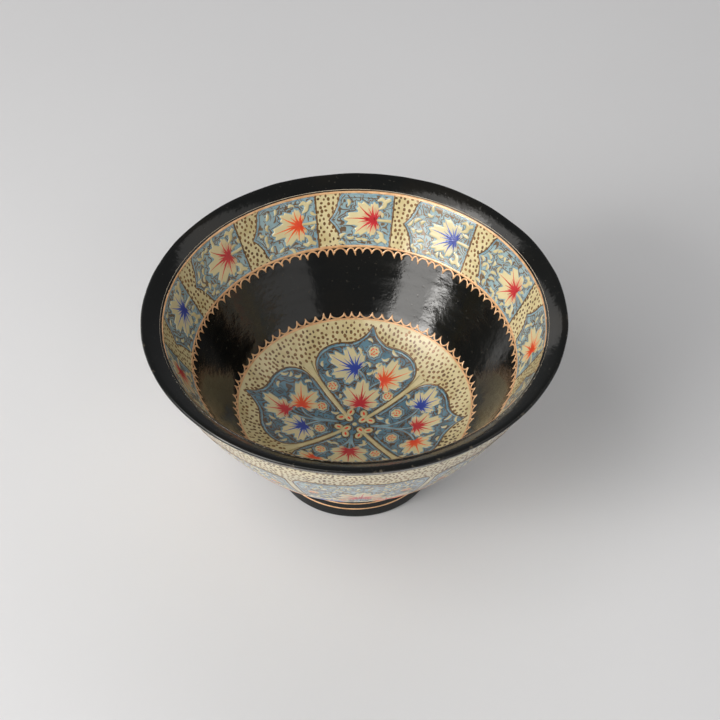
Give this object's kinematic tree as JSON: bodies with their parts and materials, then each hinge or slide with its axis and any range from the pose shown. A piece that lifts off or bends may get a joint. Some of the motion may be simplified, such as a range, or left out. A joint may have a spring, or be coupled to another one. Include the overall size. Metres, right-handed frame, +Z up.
{
  "type": "footed bowl",
  "caption": "Footed papier-mache bowl with a flared black lip, a leaf-painted frieze and medallion inside, and a painted outside.",
  "frame": {"origin": "on the surface it stands on, at the middle of the foot", "axes": "+Z up along the bowl's axis; +Y towards the back"},
  "size_m": [0.152, 0.152, 0.0765],
  "materials": {
    "paper": "moulded paper pulp, unfinished",
    "black_lacquer": "black ground under clear varnish",
    "lacquered_paper": "paper under black ground and clear varnish",
    "cream_ground": "cream ground under clear varnish",
    "cream_paint": "cream paint under clear varnish",
    "gold_paint": "dull copper-gold paint under clear varnish",
    "blue_paint": "grey-blue paint under clear varnish",
    "brown_paint": "brown line paint under clear varnish",
    "red_paint": "crimson paint under clear varnish",
    "orange_paint": "vermilion paint under clear varnish",
    "indigo_paint": "deep blue paint under clear varnish"
  },
  "bodies": {
    "root": {"paper_shell": "paper", "inner_coat": "black_lacquer", "outer_coat": "cream_ground", "underside_coat": "black_lacquer", "lip": "lacquered_paper", "foot_ring": "lacquered_paper", "foot_bevel": "lacquered_paper"}
  },
  "joints": []
}
